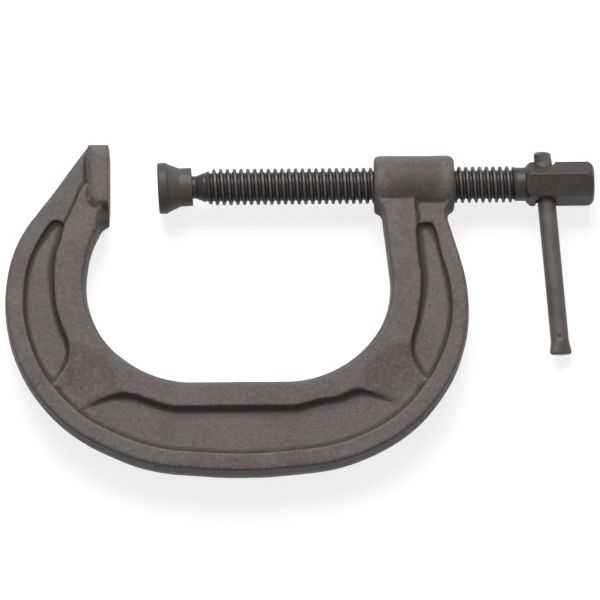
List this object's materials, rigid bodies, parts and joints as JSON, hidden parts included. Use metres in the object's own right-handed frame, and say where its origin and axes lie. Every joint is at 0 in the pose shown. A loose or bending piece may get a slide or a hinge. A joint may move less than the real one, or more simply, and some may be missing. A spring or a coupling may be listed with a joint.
{
  "type": "c clamp",
  "caption": "Forged C clamp with a deep throat, a trapezoidal screw, a swivelling pad on a ball end, a hexagonal screw head and a sliding tommy bar.",
  "frame": {"origin": "point on the anvil's flat face where the screw's axis meets it, in the middle plane of the frame", "axes": "+X along the screw from the anvil to the handle, +Y across the screw away from the spine, +Z across the thickness; the clamp lies on its side"},
  "size_m": [0.2592, 0.1484, 0.026],
  "materials": {
    "forging": "matt dark oxide over a shot-blasted steel forging",
    "screw": "dark oiled oxide on machined steel",
    "pad": "dark oiled oxide on turned steel",
    "ring": "drawn spring wire",
    "bar": "dark oxide on drawn steel bar"
  },
  "bodies": {
    "frame": {"frame": "forging"},
    "retainer": {"retaining_ring": "ring"},
    "spindle": {"spindle": "screw"},
    "swivel_pad": {"swivel_pad": "pad"},
    "tommy_bar": {"tommy_bar": "bar"}
  },
  "joints": [
    {"name": "feed", "type": "slide", "parent": "frame", "child": "retainer", "axis": [1, 0, 0], "range_m": [-0.0202, 0.0785]},
    {"name": "spindle_turn", "type": "hinge", "parent": "retainer", "child": "spindle", "pos_m": [0.0308, 0, 0], "axis": [1, 0, 0], "range_deg": [-2412, 9408]},
    {"name": "pad_swivel", "type": "hinge", "parent": "retainer", "child": "swivel_pad", "pos_m": [0.0308, 0, 0], "axis": [0, 0, 1], "range_deg": [-8.5, 3.5]},
    {"name": "bar_slide", "type": "slide", "parent": "spindle", "child": "tommy_bar", "axis": [-0.0767, 0.9925, 0.0956], "range_m": [0, 0.06]}
  ],
  "couplings": [
    {"joint": "feed", "follows": "spindle_turn", "m_per_rad": 0.00047746}
  ]
}
